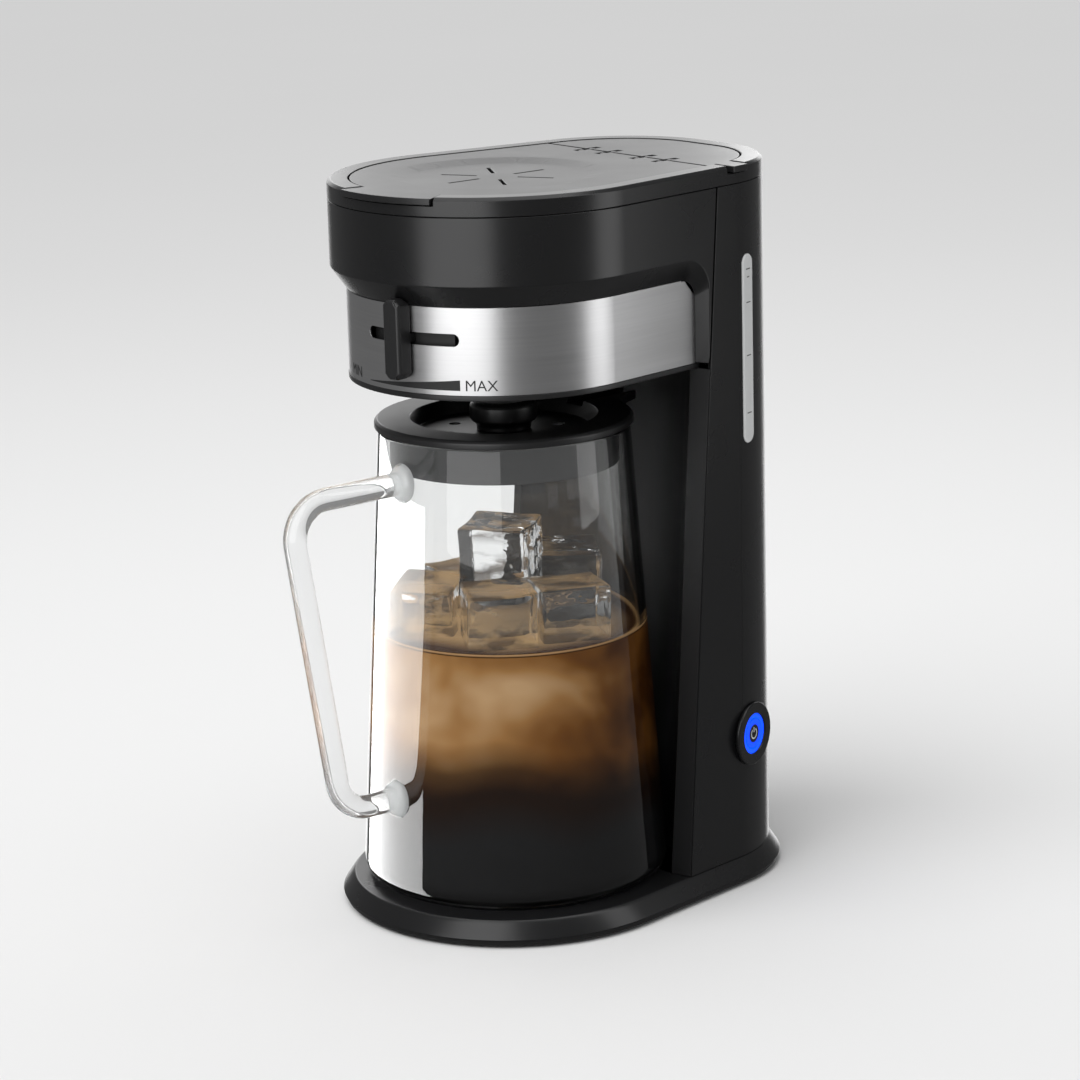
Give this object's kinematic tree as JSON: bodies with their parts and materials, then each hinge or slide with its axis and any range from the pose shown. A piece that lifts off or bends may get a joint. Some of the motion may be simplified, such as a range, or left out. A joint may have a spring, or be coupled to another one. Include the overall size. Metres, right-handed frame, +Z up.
{
  "type": "cold brew coffee maker",
  "caption": "Counter-top cold brew coffee maker with a round brewing head, strength lever, hinged lids, water tank, side power button and a glass pitcher in its bay.",
  "frame": {"origin": "middle of the footprint, on the worktop; the pitcher's axis is 5.6 mm in front of it", "axes": "+Z up, -Y towards the pitcher's handle, +X towards the side with the power button and water window"},
  "size_m": [0.164, 0.2611, 0.34],
  "materials": {
    "rubber": "matt moulded rubber",
    "gloss_black": "high gloss black",
    "matt_black": "fine satin black",
    "steel": "brushed along the band",
    "mesh": "fine nylon mesh in a frame",
    "tank_clear": "clear moulded plastic",
    "aluminium": "as cast",
    "blue_light": "lit translucent ring",
    "button_dark": "gloss with printed power symbol",
    "glass": "clear borosilicate glass"
  },
  "bodies": {
    "housing": {"base_plate": "matt_black", "base_screws": "steel", "base_shell": "gloss_black", "basket_filter": "mesh", "basket_well": "matt_black", "brew_basket": "matt_black", "button_bezel": "gloss_black", "check_valve": "rubber", "cold_hose": "rubber", "cord_inlet": "matt_black", "front_housing": "gloss_black", "front_lid_pin": "steel", "head_floor": "matt_black", "head_shell": "gloss_black", "heater_clamp": "aluminium", "heater_tube": "aluminium", "light_ring": "blue_light", "power_switch": "matt_black", "rear_housing": "gloss_black", "rubber_feet": "rubber", "steel_band": "steel", "tank_lid_pin": "steel", "tank_outlet": "rubber", "tank_shelf": "matt_black", "thermostat": "aluminium", "top_ring": "gloss_black", "valve_guide": "matt_black", "valve_spring": "steel", "water_tank": "tank_clear", "water_window": "tank_clear"},
    "front_lid": {"front_lid": "gloss_black"},
    "tank_lid": {"tank_lid": "gloss_black"},
    "strength_lever": {"strength_lever": "gloss_black", "bypass_shutter": "matt_black"},
    "power_button": {"power_button": "button_dark"},
    "drip_valve": {"drip_valve": "matt_black"},
    "pitcher": {"pitcher_glass": "glass"},
    "pitcher_lid": {"pitcher_lid": "matt_black", "lid_knob": "gloss_black"}
  },
  "joints": [
    {"name": "front_lid_hinge", "type": "hinge", "parent": "housing", "child": "front_lid", "pos_m": [0, 0.0673, 0.3372], "axis": [-1, 0, 0], "range_deg": [0, 90]},
    {"name": "tank_lid_hinge", "type": "hinge", "parent": "housing", "child": "tank_lid", "pos_m": [0, 0.0735, 0.3372], "axis": [1, 0, 0], "range_deg": [0, 90]},
    {"name": "strength_lever_turn", "type": "hinge", "parent": "housing", "child": "strength_lever", "pos_m": [0, -0.0056, 0.2765], "axis": [0, 0, 1], "range_deg": [-14, 18]},
    {"name": "power_button_press", "type": "slide", "parent": "housing", "child": "power_button", "axis": [-0.9511, -0.309, 0], "range_m": [0, 0.0015], "stiffness_N_per_m": 600, "springref_m": -0.001},
    {"name": "drip_valve_lift", "type": "slide", "parent": "housing", "child": "drip_valve", "axis": [0, 0, 1], "range_m": [0, 0.003], "stiffness_N_per_m": 120, "springref_m": -0.003, "deforming": ["valve_spring"]},
    {"name": "pitcher_pull_out", "type": "slide", "parent": "housing", "child": "pitcher", "axis": [0, -1, 0], "range_m": [0, 0.165]},
    {"name": "pitcher_lid_turn", "type": "hinge", "parent": "pitcher", "child": "pitcher_lid", "pos_m": [0, -0.0056, 0.2293], "axis": [0, 0, 1], "range_deg": [-45, 45]}
  ]
}
